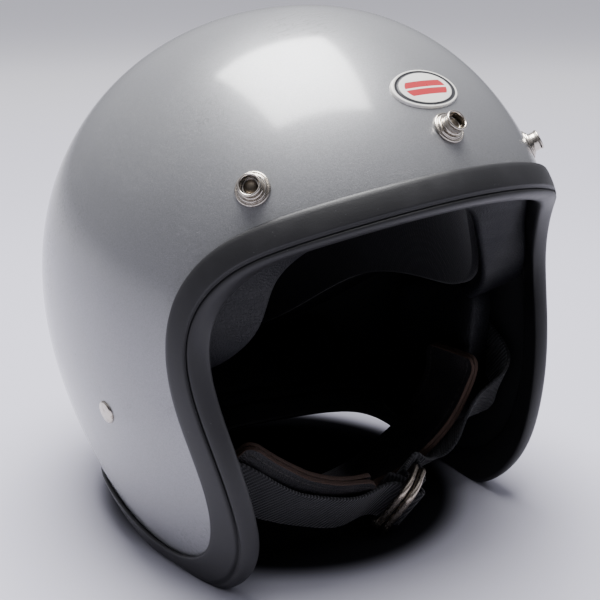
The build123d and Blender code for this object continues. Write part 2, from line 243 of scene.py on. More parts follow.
def addMesh(name, points, quads, triangles, material, values=None, flat=None):
    mesh = bpy.data.meshes.new(name)
    corners = [points[quads[:, 0]], points[quads[:, 1]], points[quads[:, 2]], points[quads[:, 3]]]
    volume = np.einsum("ij,ij->i", corners[0], np.cross(corners[1], corners[2])).sum()
    volume += np.einsum("ij,ij->i", corners[0], np.cross(corners[2], corners[3])).sum()
    if len(triangles):
        a, b, c = (points[triangles[:, k]] for k in range(3))
        volume += np.einsum("ij,ij->i", a, np.cross(b, c)).sum()
    if volume < 0:
        quads = quads[:, ::-1]
        triangles = triangles[:, ::-1] if len(triangles) else triangles
    loops = np.concatenate((quads.reshape(-1), triangles.reshape(-1))).astype(np.int32)
    sizes = np.concatenate((np.full(len(quads), 4), np.full(len(triangles), 3)))
    starts = np.concatenate(([0], np.cumsum(sizes)[:-1])).astype(np.int32)
    mesh.vertices.add(len(points))
    mesh.vertices.foreach_set("co", points.astype(np.float32).reshape(-1))
    mesh.loops.add(len(loops))
    mesh.loops.foreach_set("vertex_index", loops)
    mesh.polygons.add(len(starts))
    mesh.polygons.foreach_set("loop_start", starts)
    mesh.polygons.foreach_set("use_smooth", np.ones(len(starts), bool))
    mesh.update(calc_edges=True)
    mesh.validate()
    if flat is not None:
        layer = mesh.uv_layers.new(name="flat")
        vertexOf = np.zeros(len(mesh.loops), np.int32)
        mesh.loops.foreach_get("vertex_index", vertexOf)
        layer.data.foreach_set("uv", flat[vertexOf].astype(np.float32).reshape(-1))
    for label, value in (values or {}).items():
        attribute = mesh.attributes.new(label, "FLOAT", "POINT")
        attribute.data.foreach_set("value", value.astype(np.float32))
    piece = bpy.data.objects.new(name, mesh)
    bpy.context.scene.collection.objects.link(piece)
    mesh.materials.append(material)
    return piece


def gridPiece(name, grid, material, wrapRows=False, wrapColumns=False, capRows=False, capColumns=False,
              values=None, flat=None):
    # a grid of points as a closed mesh; a cap closes the first and last row, or column, with a fan
    rows, columns = grid.shape[:2]
    points = grid.reshape(-1, 3)
    quads = gridFaces(rows, columns, wrapRows, wrapColumns)
    index = np.arange(rows * columns).reshape(rows, columns)
    triangles = []
    extra = []
    ends = [(index[0][::-1], grid[0]), (index[-1], grid[-1])] if capRows else []
    ends += [(index[:, 0], grid[:, 0]), (index[:, -1][::-1], grid[:, -1])] if capColumns else []
    for ring, edge in ends:
        triangles.append(fanFaces(ring, len(points) + len(extra)))
        extra.append(edge.mean(0))
    if extra:
        points = np.vstack((points, extra))
    triangles = np.vstack(triangles) if triangles else np.zeros((0, 3), int)
    if values:
        values = {label: np.concatenate((value.reshape(-1), np.full(len(extra), value.reshape(-1)[0])))
                  for label, value in values.items()}
    if flat is not None:
        flat = np.vstack([flat.reshape(-1, 2)] + [flat.reshape(-1, 2)[:1]] * len(extra))
    return addMesh(name, toFrame(points), quads, triangles, material, values, flat)


def finishPiece(piece, body, replaced):
    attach(piece, body)
    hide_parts(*replaced)


# ---------------------------------------------------------------- materials


class Value:
    # a socket that takes part in sums; each operator adds its Math node
    def __init__(self, finish, socket):
        self.finish, self.socket = finish, socket

    def apply(self, operation, *others):
        inputs = dict(enumerate((self,) + others))
        node = self.finish.add("ShaderNodeMath", dict(operation=operation), inputs)
        return node["Value"]

    def __add__(self, other): return self.apply("ADD", other)
    def __radd__(self, other): return self.apply("ADD", other)
    def __sub__(self, other): return self.apply("SUBTRACT", other)
    def __rsub__(self, other): return (self * -1).apply("ADD", other)
    def __mul__(self, other): return self.apply("MULTIPLY", other)
    def __rmul__(self, other): return self.apply("MULTIPLY", other)
    def __truediv__(self, other): return self.apply("DIVIDE", other)
    def __gt__(self, other): return self.apply("GREATER_THAN", other)
    def __abs__(self): return self.apply("ABSOLUTE")
    def sine(self): return self.apply("SINE")
    def root(self): return self.apply("SQRT")
    def most(self, other): return self.apply("MAXIMUM", other)

    def ramp(self, low, high):
        # 0 below low, 1 above high, smooth between
        node = self.finish.add("ShaderNodeMapRange", dict(interpolation_type="SMOOTHSTEP"),
                               {"Value": self, "From Min": low, "From Max": high})
        return node["Result"]


class Node:
    def __init__(self, finish, node):
        self.finish, self.node = finish, node

    def __getitem__(self, name):
        return Value(self.finish, self.node.outputs[name])


class Finish:
    # one material: a Principled shader and the nodes that feed it
    def __init__(self, name, **settings):
        self.material = bpy.data.materials.new(name)
        self.material.use_nodes = True
        self.tree = self.material.node_tree
        self.tree.nodes.clear()
        self.output = self.tree.nodes.new("ShaderNodeOutputMaterial")
        self.shader = self.tree.nodes.new("ShaderNodeBsdfPrincipled")
        self.tree.links.new(self.shader.outputs["BSDF"], self.output.inputs["Surface"])
        self.place = Value(self, self.tree.nodes.new("ShaderNodeTexCoord").outputs["Object"])
        for label, value in settings.items():
            self.feed(label.replace("_", " "), value)

    def put(self, socket, value):
        if isinstance(value, Value):
            self.tree.links.new(value.socket, socket)
        elif hasattr(socket.default_value, "__len__") and len(socket.default_value) == 4 and len(value) == 3:
            socket.default_value = (*value, 1)
        else:
            socket.default_value = value

    def feed(self, label, value):
        self.put(self.shader.inputs[label], value)

    def add(self, kind, settings=None, inputs=None):
        node = self.tree.nodes.new(kind)
        for label, value in (settings or {}).items():
            setattr(node, label, value)
        for label, value in (inputs or {}).items():
            self.put(node.inputs[label], value)
        return Node(self, node)

    def noise(self, scale, detail=4, roughness=0.5, at=None):
        inputs = {"Vector": at or self.place, "Scale": scale, "Detail": detail, "Roughness": roughness}
        return self.add("ShaderNodeTexNoise", {}, inputs)["Fac"]

    def cells(self, scale, feature="F1", output="Distance"):
        inputs = {"Vector": self.place, "Scale": scale}
        return self.add("ShaderNodeTexVoronoi", dict(feature=feature), inputs)[output]

    def stretched(self, scale, turn=(0, 0, 0), shift=(0, 0, 0)):
        return self.add("ShaderNodeMapping", {}, {"Vector": self.place, "Scale": scale, "Rotation": turn,
                                                  "Location": shift})["Vector"]

    def mix(self, factor, a, b):
        node = self.add("ShaderNodeMix", dict(data_type="RGBA"), {0: factor, 6: a, 7: b})
        return Value(self, node.node.outputs[2])

    def axis(self, vector=None):
        node = self.add("ShaderNodeSeparateXYZ", {}, {0: vector or self.place})
        return node["X"], node["Y"], node["Z"]

    def bump(self, height, depth, normal=None):
        inputs = {"Height": height, "Distance": depth, "Strength": 1.0}
        if normal is not None:
            inputs["Normal"] = normal
        return self.add("ShaderNodeBump", {}, inputs)["Normal"]

    def flatMap(self):
        return self.axis(self.add("ShaderNodeUVMap", dict(uv_map="flat"))["UV"])[:2]

    def attribute(self, label):
        return self.add("ShaderNodeAttribute", dict(attribute_name=label))["Fac"]

    def distanceTo(self, point):
        away = self.add("ShaderNodeVectorMath", dict(operation="DISTANCE"), {0: self.place, 1: point})
        return away["Value"]


paint = dict(
    base=(0.160, 0.161, 0.167), light=(0.238, 0.240, 0.249), primer=(0.10, 0.10, 0.10),
    inside=(0.008, 0.0082, 0.010), scratched=(0.11, 0.11, 0.115),
    metallic=0.55, roughness=0.42, coat=0.95, coatRoughness=0.14, coatIor=1.62,
    flakeScale=2600, flakeDepth=0.00002, peelDepth=0.00003, chipScale=120,
    scratchStretch=(25, 260, 260), scratchEdge=(0.005, 0.016),
    scratchRuns=(((0.3, 0.5, 0.2), (0.1, 0, 0)), ((1.1, 0.2, 0.9), (0, 0.3, 0.1)),
                 ((0.2, 1.3, 0.4), (0.2, 0.1, 0.4))),
)


def makePaint():
    finish = Finish("silverPaint", Coat_Roughness=paint["coatRoughness"], Coat_IOR=paint["coatIor"])
    flakes = finish.cells(paint["flakeScale"], output="Color")
    flakeTone = finish.axis(flakes)[0]
    clouds = finish.noise(14, 3)
    tone = flakeTone * 0.55 + clouds * 0.45
    base = finish.mix(tone, paint["base"], paint["light"])
    # hairline scratches: thin bands of stretched noise, kept to patches
    patches = finish.noise(16, 2, at=finish.stretched((1, 1, 1), shift=(0.31, 0.12, 0.05))).ramp(0.56, 0.66)
    lines = None
    for turn, shift in paint["scratchRuns"]:
        fine = finish.noise(1, 1, at=finish.stretched(paint["scratchStretch"], turn, shift))
        hair = 1 - abs(fine - 0.5).ramp(*paint["scratchEdge"])
        lines = hair if lines is None else lines.most(hair)
    scratches = lines * patches
    # small chips through to the primer, most of them low on the sides
    chipCells = finish.cells(paint["chipScale"])
    low = 1 - finish.axis()[2].ramp(0.06, 0.13)
    chips = (1 - chipCells.ramp(0.045, 0.075)) * finish.noise(26, 2).ramp(0.54, 0.60) * (low * 0.8 + 0.2)
    base = finish.mix(scratches * 0.5, base, paint["scratched"])
    base = finish.mix(chips, base, paint["primer"])
    # the inner face is raw black resin
    inside = finish.attribute("inside")
    finish.feed("Base Color", finish.mix(inside, base, paint["inside"]))
    wear = scratches.most(chips)
    finish.feed("Metallic", (paint["metallic"] - wear * 0.3) * (1 - inside))
    finish.feed("Coat Weight", paint["coat"] * (1 - inside))
    smears = finish.noise(9, 5, 0.65)
    finish.feed("Roughness", paint["roughness"] + (smears - 0.5) * 0.12 + wear * 0.2 + inside * 0.35)
    peel = finish.noise(210, 2)
    surface = peel * 0.35 - wear * 0.6
    normal = finish.bump(surface, paint["peelDepth"])
    finish.feed("Normal", finish.bump(flakeTone, paint["flakeDepth"], normal))
    return finish.material


def makeRubber():
    finish = Finish("beadingRubber", Specular_IOR_Level=0.42)
    grain = finish.noise(1900, 3)
    bloom = finish.noise(35, 4, 0.6).ramp(0.42, 0.75)
    dust = (1 - finish.cells(330).ramp(0.05, 0.10)) * finish.noise(60, 2).ramp(0.52, 0.6)
    colour = finish.mix(bloom, (0.0085, 0.0083, 0.0095), (0.014, 0.0136, 0.0155))
    finish.feed("Base Color", finish.mix(dust * 0.5, colour, (0.09, 0.09, 0.095)))
    finish.feed("Roughness", 0.46 + (grain - 0.5) * 0.12 + bloom * 0.08)
    wrinkles = finish.noise(1, 2, at=finish.stretched((130, 130, 420)))
    finish.feed("Normal", finish.bump(grain + wrinkles * 0.8, 0.00005))
    return finish.material


def makeNickel(name, tone, tarnish, roughness):
    finish = Finish(name, Metallic=1.0)
    spots = finish.noise(420, 5, 0.65).ramp(0.52, 0.72)
    finish.feed("Base Color", finish.mix(spots * 0.8, tone, tarnish))
    scuffs = finish.noise(1, 2, at=finish.stretched((2600, 2600, 300), (0.4, 0.2, 0)))
    finish.feed("Roughness", roughness + spots * 0.22 + (scuffs - 0.5) * 0.18)
    finish.feed("Normal", finish.bump(scuffs + spots, 0.00002))
    return finish.material


def makeSteel():
    finish = Finish("platedSteel", Metallic=1.0)
    grain = finish.noise(1, 3, at=finish.stretched((3000, 300, 3000)))
    finish.feed("Base Color", finish.mix(grain, (0.42, 0.42, 0.43), (0.60, 0.60, 0.61)))
    finish.feed("Roughness", 0.36 + (grain - 0.5) * 0.2)
    finish.feed("Normal", finish.bump(grain, 0.00002))
    return finish.material


def makeCloth():
    finish = Finish("liningCloth", Sheen_Weight=0.25, Sheen_Roughness=0.5, Specular_IOR_Level=0.25)
    x, y, z = finish.axis()
    weave = (x * 5200).sine() * (y * 5200 + z * 2600).sine()
    pile = finish.noise(900, 4, 0.6)
    worn = finish.noise(22, 4).ramp(0.45, 0.75)
    finish.feed("Base Color", finish.mix(worn, (0.006, 0.006, 0.0075), (0.012, 0.012, 0.0145)))
    finish.feed("Roughness", 0.86 + (pile - 0.5) * 0.15)
    finish.feed("Normal", finish.bump(weave * 0.4 + pile, 0.00018))
    return finish.material


def makeLeatherette():
    finish = Finish("liningLeatherette", Specular_IOR_Level=0.25)
    grain = finish.cells(620, "DISTANCE_TO_EDGE")
    creases = finish.noise(1, 4, at=finish.stretched((60, 60, 240)))
    worn = finish.noise(30, 4).ramp(0.45, 0.75)
    finish.feed("Base Color", finish.mix(worn, (0.0045, 0.0047, 0.006), (0.009, 0.0093, 0.0118)))
    finish.feed("Roughness", 0.52 + (creases - 0.5) * 0.2 + worn * 0.1)
    finish.feed("Normal", finish.bump(grain.ramp(0.0, 0.28) + creases * 0.6, 0.00014))
    return finish.material


def makeFoam():
    finish = Finish("blackFoam", Specular_IOR_Level=0.2)
    beads = finish.cells(280, "DISTANCE_TO_EDGE")
    tone = finish.noise(40, 3)
    finish.feed("Base Color", finish.mix(tone, (0.006, 0.006, 0.007), (0.014, 0.014, 0.016)))
    finish.feed("Roughness", 0.75 + (tone - 0.5) * 0.2)
    finish.feed("Normal", finish.bump(beads.ramp(0, 0.16), 0.0003))
    return finish.material


# the worn colour also goes on the crests of the ribs and threads, as painted light
webbing = dict(rib=0.0021, colour=(0.0045, 0.0045, 0.0056), worn=(0.012, 0.012, 0.0145))


def makeWebbing():
    finish = Finish("ribbedWebbing", Sheen_Weight=0.2, Sheen_Roughness=0.4, Specular_IOR_Level=0.4)
    along, across = finish.flatMap()
    turn = 2 * math.pi / webbing["rib"]
    ribs = ((along + across * 0.35) * turn).sine() * 0.5 + 0.5
    threads = (across * (turn * 2.4)).sine() * 0.5 + 0.5
    fibre = finish.noise(1500, 3)
    worn = finish.noise(70, 4, 0.6).ramp(0.45, 0.8)
    # painted shade and light: the colour is darker in the grooves between the ribs and threads and lighter on
    # their crests; the worn patches are real wear
    tone = ribs * 0.5 + threads * 0.2 + worn * 0.3
    finish.feed("Base Color", finish.mix(tone, webbing["colour"], webbing["worn"]))
    finish.feed("Roughness", 0.62 + (fibre - 0.5) * 0.3)
    finish.feed("Normal", finish.bump(ribs + threads * 0.35 + fibre * 0.3, 0.0004))
    return finish.material


stitch = dict(pitch=0.0036, fromMiddle=0.0132)


def makePadLeather():
    finish = Finish("padLeather", Specular_IOR_Level=0.4)
    raw = finish.attribute("rawEdge")
    along, across = finish.flatMap()
    fibre = finish.noise(1, 4, at=finish.stretched((900, 900, 240)))
    grain = finish.cells(800, "DISTANCE_TO_EDGE")
    worn = finish.noise(55, 4, 0.6).ramp(0.45, 0.75)
    face = finish.mix(worn, (0.0085, 0.008, 0.009), (0.020, 0.018, 0.0185))
    brown = finish.mix(fibre, (0.018, 0.010, 0.007), (0.075, 0.040, 0.026))
    # a row of stitches just inside both edges
    stitchTurn = 2 * math.pi / stitch["pitch"]
    row = 1 - abs(abs(across) - stitch["fromMiddle"]).ramp(0.0003, 0.0006)
    thread = row * ((along * stitchTurn).sine() > -0.35) * (1 - raw)
    face = finish.mix(thread, face, (0.030, 0.026, 0.024))
    finish.feed("Base Color", finish.mix(raw, face, brown))
    finish.feed("Roughness", 0.46 + raw * 0.35 + (fibre - 0.5) * 0.2)
    finish.feed("Normal", finish.bump(grain.ramp(0, 0.25) * 0.5 + fibre * raw + thread * 1.6, 0.00025))
    return finish.material


badge = dict(height=222.5, halfLength=18.5, halfWidth=10.5, rise=1.1)


def makeEnamel():
    # an oval plate: a pale field, a black ring inside the rim, and two plain stripes
    finish = Finish("badgeEnamel", Coat_Weight=0.35, Coat_Roughness=0.2)
    u, v = finish.flatMap()
    away = (u * u + v * v).root()
    ring = away.ramp(0.775, 0.80) * (1 - away.ramp(0.90, 0.925))
    inside = 1 - away.ramp(0.62, 0.645)
    upper = (1 - abs(v - 0.20).ramp(0.145, 0.17)) * inside
    lower = (1 - abs(v + 0.20).ramp(0.145, 0.17)) * inside
    aged = finish.noise(160, 4, 0.6)
    field = finish.mix(aged, (0.68, 0.66, 0.60), (0.80, 0.79, 0.75))
    field = finish.mix(upper.most(lower), field, (0.42, 0.012, 0.020))
    field = finish.mix(ring, field, (0.012, 0.012, 0.014))
    specks = 1 - finish.cells(900).ramp(0.08, 0.14)
    finish.feed("Base Color", finish.mix(specks * aged.ramp(0.52, 0.6) * 0.7, field, (0.10, 0.08, 0.07)))
    finish.feed("Roughness", 0.30 + (aged - 0.5) * 0.2)
    finish.feed("Normal", finish.bump(ring + upper.most(lower) * 0.6, -0.00008))
    return finish.material


silver = makePaint()
rubber = makeRubber()
nickel = makeNickel("snapNickel", (0.58, 0.535, 0.475), (0.20, 0.16, 0.12), 0.17)
wornNickel = makeNickel("ringNickel", (0.46, 0.405, 0.335), (0.13, 0.092, 0.056), 0.28)
oldBrass = makeNickel("rivetBrass", (0.10, 0.085, 0.068), (0.03, 0.024, 0.018), 0.42)
steel = makeSteel()
cloth = makeCloth()
leatherette = makeLeatherette()
foam = makeFoam()
strapWeave = makeWebbing()
padLeather = makePadLeather()
enamel = makeEnamel()
print("materials made")

# ---------------------------------------------------------------- shell

shellGrid = dict(stations=480, outerRows=100, innerRows=30, centre=(0, 10, 110), pole=(0, 0.75, 0.66))


def greatCircles(rimPoints, rows):
    # directions on the arcs from the pole direction to each rim point's direction
    centre = np.array(shellGrid["centre"], float)
    pole = np.array(shellGrid["pole"], float)
    pole = pole / np.linalg.norm(pole)
    ends = rimPoints - centre
    ends = ends / np.linalg.norm(ends, axis=-1)[..., None]
    angle = np.arccos(np.clip(ends @ pole, -1, 1))[:, None, None]
    share = np.linspace(0, 1, rows + 1)[1:][None, :, None]
    return (np.sin((1 - share) * angle) * pole + np.sin(share * angle) * ends[:, None, :]) / np.sin(angle)


def skin(line, distances, inset, rows, count):
    # the part of the dome on the helmet's side of a line, as arcs from the pole out to the line
    turns = line.evenTurns(count, distances, inset)
    edge = line.loop(turns, distances, inset)
    centre = np.array(shellGrid["centre"], float)
    surface = domeRay(centre, greatCircles(edge, rows), inset)
    surface[:, -1] = edge
    return surface


def poleOn(inset):
    centre = np.array(shellGrid["centre"], float)
    pole = np.array(shellGrid["pole"], float)
    return domeRay(centre, (pole / np.linalg.norm(pole))[None, :], inset)[0]


def doubleSkin(name, line, outerDistance, innerDistance, outerInset, innerInset, rows, count, material,
               quilting=None):
    # outer skin from its pole to the edge, then the inner skin back to its pole
    outer = skin(line, outerDistance, outerInset, rows[0], count)
    inner = skin(line, innerDistance, innerInset, rows[1], count)
    if quilting is not None:
        inner = quilting(inner)
    grid = np.concatenate((outer, inner[:, ::-1]), 1)
    stations, columns = grid.shape[:2]
    points = np.vstack((grid.reshape(-1, 3), poleOn(outerInset), poleOn(innerInset)))
    index = np.arange(stations * columns).reshape(stations, columns)
    quads = gridFaces(stations, columns, True, False)
    outerPole, innerPole = stations * columns, stations * columns + 1
    triangles = np.vstack((fanFaces(index[:, 0], outerPole), fanFaces(index[:, -1][::-1], innerPole)))
    inside = np.zeros((stations, columns))
    inside[:, rows[0]:] = 1
    inside = np.concatenate((inside.reshape(-1), (0, 1)))
    return addMesh(name, toFrame(points), quads, triangles, material, dict(inside=inside))


edgeBack = 3  # the shell stops this far inside the beading's nose
shellPiece = doubleSkin("shell_skin", rimSide, cover - edgeBack, cover - edgeBack, 0, dome["wall"],
                        (shellGrid["outerRows"], shellGrid["innerRows"]), shellGrid["stations"], silver)
finishPiece(shellPiece, "helmet", ["shell"])
print("shell made")

# ---------------------------------------------------------------- edge beading

beading = dict(stations=560, proud=3.0, lip=2.5, nose=3.0, grooveBack=3.4, grooveDepth=0.55, swell=0.45)


def beadingProfile():
    # closed channel section: leaf, groove, nose, lip, channel
    # each row is the share of the cover, the distance beyond that and the inset
    proud, wall, lip = beading["proud"], dome["wall"], beading["lip"]
    back, depth, swell = beading["grooveBack"], beading["grooveDepth"], beading["swell"]
    rows = [(0, 0.0, -0.02), (0, -0.1, -0.9), (0, 0.05, -1.9), (0, 0.45, -2.6), (0, 1.1, -proud + 0.05)]
    for share in (0.12, 0.24, 0.38, 0.52, 0.66, 0.80):
        rows.append((share, 0.8 - share, -proud - swell * math.sin(math.pi * share)))
    rows += [(1, -back - 1.3, -proud - 0.18), (1, -back - 0.55, -proud + 0.02),
             (1, -back - 0.2, -proud + depth * 0.6), (1, -back + 0.15, -proud + depth),
             (1, -back + 0.5, -proud + depth * 0.6), (1, -back + 0.9, -proud + 0.08),
             (1, -1.7, -proud + 0.1), (1, -0.95, -proud + 0.55), (1, -0.4, -1.6), (1, -0.08, -0.4),
             (1, 0.0, 1.2),
             (1, -0.08, 2.9), (1, -0.45, 4.5), (1, -1.05, 5.7), (1, -1.9, 6.35), (1, -3.0, wall + lip)]
    rows += [(share, 0.0, wall + lip) for share in (0.66, 0.5, 0.34, 0.2)]
    rows += [(0, 1.0, wall + lip), (0, 0.35, 6.1), (0, 0.0, 5.3), (0, 0.0, wall + 0.04)]
    rows += [(share, 0.0, wall + 0.04) for share in (0.2, 0.4, 0.6)]
    rows += [(1, -beading["nose"] + 0.02, wall + 0.04), (1, -beading["nose"] + 0.02, -0.02)]
    rows += [(share, 0.0, -0.02) for share in (0.6, 0.4, 0.2)]
    return rows


def makeBeading():
    turns = rimSide.evenTurns(beading["stations"], cover * 0.5, -beading["proud"])
    rows = [rimSide.loop(turns, cover * share + beyond, inset) for share, beyond, inset in beadingProfile()]
    grid = np.stack(rows, 1)
    # nothing goes below the floor
    grid[..., 2] = np.maximum(grid[..., 2], 0)
    piece = gridPiece("edge_beading_rubber", grid, rubber, wrapRows=True, wrapColumns=True)
    finishPiece(piece, "helmet", ["edge_beading"])


makeBeading()
print("beading made")

# ---------------------------------------------------------------- snaps, badge


def revolve(name, profile, steps, origin, axis, material, around=64):
    # the profile's smooth line turned round the axis; radius goes across and height along
    profile = np.array(profile, float)
    places = spacing(profile)
    line = smoothLine(profile, places, np.linspace(0, places[-1], steps))
    line[:, 0] = np.maximum(line[:, 0], 0)
    axis = np.array(axis, float)
    first = np.cross(axis, (0, 0, 1.0))
    first = first / np.linalg.norm(first)
    second = np.cross(axis, first)
    angle = np.linspace(0, 2 * math.pi, around, endpoint=False)[:, None, None]
    radial = np.cos(angle) * first + np.sin(angle) * second
    grid = origin + radial * line[None, :, :1] + axis * line[None, :, 1:]
    return gridPiece(name, grid, material, wrapRows=True, capColumns=True)


snap = dict(toWall=4.05)
flangeLine = (
    (1.7, -0.25), (4.5, -0.25), (6.7, -0.25), (7.2, -0.1), (7.42, 0.3), (7.3, 0.75), (6.95, 1.02),
    (6.6, 0.98), (6.35, 0.9), (6.18, 1.15), (6.1, 1.55), (5.85, 1.88), (5.4, 1.95), (4.4, 1.95), (1.7, 1.95),
)
barrelLine = (
    (1.7, 1.96), (3.6, 1.96), (4.75, 1.98), (4.95, 2.15), (4.72, 2.5), (4.6, 3.2), (4.58, 4.6), (4.68, 5.3),
    (4.9, 5.75), (4.95, 6.15), (4.75, 6.5), (4.35, 6.62), (3.98, 6.42), (3.82, 6.0), (3.76, 5.0), (3.74, 3.6),
    (3.6, 3.0), (2.8, 2.96), (1.7, 2.96),
)
snapRivetLine = (
    (1.2, -6.0), (2.6, -6.0), (2.9, -5.7), (2.8, -5.3), (1.7, -5.15), (1.6, -4.5), (1.6, -1.0), (1.6, 2.0),
    (1.65, 2.9), (2.5, 2.97), (2.95, 3.1), (2.85, 3.5), (2.3, 3.95), (1.5, 4.3), (0.7, 4.45), (0.15, 4.48),
)


def makeSnaps():
    mounts = {mount["name"]: mount for mount in record["mounts"]}
    for side in ("right", "centre", "left"):
        mount = mounts["snap_" + side]
        axis = np.array(mount["axis"], float)
        base = np.array(mount["pos_m"], float) / mm - axis * snap["toWall"] - np.array((0, crownY, 0))
        flange = revolve("snap_flange_" + side + "_plated", flangeLine, 90, base, axis, nickel, 96)
        finishPiece(flange, "helmet", ["snap_flange_" + side])
        barrel = revolve("snap_barrel_" + side + "_plated", barrelLine, 110, base, axis, nickel, 80)
        finishPiece(barrel, "helmet", ["snap_barrel_" + side])
        rivet = revolve("snap_rivet_" + side + "_brass", snapRivetLine, 90, base, axis, oldBrass, 56)
        finishPiece(rivet, "helmet", ["snap_rivet_" + side])


makeSnaps()


def makeBadge():
    # rings of an ellipse laid on the dome; the plate rises from its edge to a slight crown with a raised bead
    reach = np.concatenate((np.linspace(0.04, 0.86, 26), np.linspace(0.88, 1, 10)))
    angle = np.linspace(0, 2 * math.pi, 128, endpoint=False)[:, None]
    u, v = reach * np.cos(angle), reach * np.sin(angle)
    edge = np.clip((1 - reach) / 0.035, 0, 1)
    rise = badge["rise"] * np.sqrt(1 - (1 - edge) ** 2) * (1 - 0.18 * np.exp(-((reach - 0.85) / 0.03) ** 2))
    rise = np.broadcast_to(rise, u.shape)
    # the plate's own plane: across is X, up runs along the dome's slope at the badge's height
    slopeZ = np.array((badge["height"] - 1, badge["height"] + 1.0))
    slopeY = -section(slopeZ, 0)[1]
    up = np.array((0, slopeY[1] - slopeY[0], 2.0))
    up = up / np.linalg.norm(up)
    out = np.cross((1, 0, 0), up)
    out = out if out[1] < 0 else -out
    middle = np.array((0, -section(np.array(badge["height"] * 1.0), 0)[1], badge["height"]))
    flatPoint = middle + u[..., None] * badge["halfLength"] * np.array((1, 0, 0))
    flatPoint = flatPoint + v[..., None] * badge["halfWidth"] * up
    inner = flatPoint - out * 20
    top = domeRay(inner, np.broadcast_to(out, inner.shape), -rise, far=40)
    under = domeRay(inner[:, ::-1], np.broadcast_to(out, inner.shape), 0.6, far=40)
    grid = np.concatenate((top, under), 1)
    flat = np.concatenate((np.stack((u, v), -1), np.stack((u, v), -1)[:, ::-1]), 1)
    piece = gridPiece("badge_plate", grid, enamel, wrapRows=True, capColumns=True, flat=flat)
    finishPiece(piece, "helmet", ["badge"])


makeBadge()
print("snaps and badge made")

# ---------------------------------------------------------------- lining

linerLine = SideLine((
    (-150, 222), (-103, 194), (-82, 183), (-62, 168.5), (-48, 146), (-44, 124), (-30, 111), (0, 106),
    (45, 100), (80, 78), (108, 58), (150, 52),
))
lining = dict(outer=32.6, inner=35.6, rows=(30, 90), stations=360,
              seams=(0, 34, -34), seamReach=4.5, quilt=1.6)


def quiltLining(points):
    # the lining swells into the helmet between its sewn seams, which run from front to back
    centre = np.array(shellGrid["centre"], float)
    x = points[..., 0]
    nearest = np.min([np.abs(x - seam) for seam in lining["seams"]], axis=0)
    swell = lining["quilt"] * (1 - np.exp(-(nearest / lining["seamReach"]) ** 2))
    toward = centre - points
    toward = toward / np.linalg.norm(toward, axis=-1)[..., None]
    return points + toward * swell[..., None]


liningPiece = doubleSkin("crown_lining_cloth", linerLine, 0, 0, lining["outer"], lining["inner"],
                         lining["rows"], lining["stations"], cloth, quiltLining)
finishPiece(liningPiece, "helmet", ["crown_lining"])


def pillow(share, power=2.6):
    # a soft edge: full in the middle and nothing at share 1
    return np.clip(1 - np.abs(share) ** power, 0, None) ** (1 / power)


crownPad = dict(radius=47, outer=36.1, swell=1.6, thickness=6.6, panels=8)


def makeCrownPad():
    # a round cushion against the top of the lining, with seams from its middle button to its edge
    reach = np.concatenate((np.linspace(0.02, 0.9, 34), np.linspace(0.92, 1, 8)))
    angle = np.linspace(0, 2 * math.pi, 192, endpoint=False)[:, None]
    x, y = crownPad["radius"] * reach * np.cos(angle), crownPad["radius"] * reach * np.sin(angle)
    start = np.stack((x, y, np.full(x.shape, 150.0)), -1)
    upward = np.broadcast_to(np.array((0, 0, 1.0)), start.shape)
    fromSeam = np.sin(angle * crownPad["panels"] / 2) * reach * 9
    valley = 1 - 0.30 * np.exp(-fromSeam ** 2) * np.ones_like(reach)
    middle = 1 - 0.45 * np.exp(-(reach / 0.07) ** 2)
    thickness = crownPad["thickness"] * pillow(reach, 3.0) * valley * middle
    top = domeRay(start, upward, crownPad["outer"] + crownPad["swell"] + 0 * thickness, far=110)
    under = domeRay(start, upward, crownPad["outer"] + crownPad["swell"] + thickness, far=110)
    grid = np.concatenate((top, under[:, ::-1]), 1)
    piece = gridPiece("crown_pad_cushion", grid, cloth, wrapRows=True, capColumns=True)
    finishPiece(piece, "helmet", ["crown_pad"])


makeCrownPad()


def sweepSection(line, turns, rows):
    # each row of the section is a loop of the line at its own distance and inset
    return np.stack([line.loop(turns, distance, inset) for distance, inset in rows], 1)


def roundedBox(low, high, inner, outer, radius, count=7):
    # corners of a rounded rectangle in distance and inset
    rows = []
    for cx, cy, start in ((high - radius, outer - radius, 0), (low + radius, outer - radius, 90),
                          (low + radius, inner + radius, 180), (high - radius, inner + radius, 270)):
        for k in range(count):
            a = math.radians(start + 90 * k / (count - 1))
            rows.append((cx + radius * math.cos(a), cy + radius * math.sin(a)))
    return rows


browBand = dict(low=0.3, high=9, inner=6.9, outer=35.4, rearY=-36, round=3.4, stations=300)


def makeBrowBand():
    # a padded trim over the front edge of the liner, from one temple over the brow to the other
    dense = np.linspace(0, math.pi, 4001)
    probe = linerLine.loop(dense, browBand["low"], 20)
    last = dense[np.flatnonzero(probe[:, 1] > browBand["rearY"])[0]]
    turns = linerLine.evenTurns(browBand["stations"], 4, 20, -last, last, closed=False)
    rows = roundedBox(*(browBand[key] for key in ("low", "high", "inner", "outer", "round")))
    grid = sweepSection(linerLine, turns, rows)
    piece = gridPiece("brow_band_trim", grid, leatherette, wrapColumns=True, capRows=True)
    finishPiece(piece, "helmet", ["brow_band"])


makeBrowBand()

cheek = dict(
    outline=((-34, 104), (-35, 80), (-35, 50), (-31, 30), (-15, 20), (8, 20), (27, 27), (30, 50), (30, 75),
             (27, 96), (0, 104)),
    middle=(-2, 62), inset=4.5, thickness=29.5, channelWall=98.5, channelEnd=16.5, swell=2.0,
)


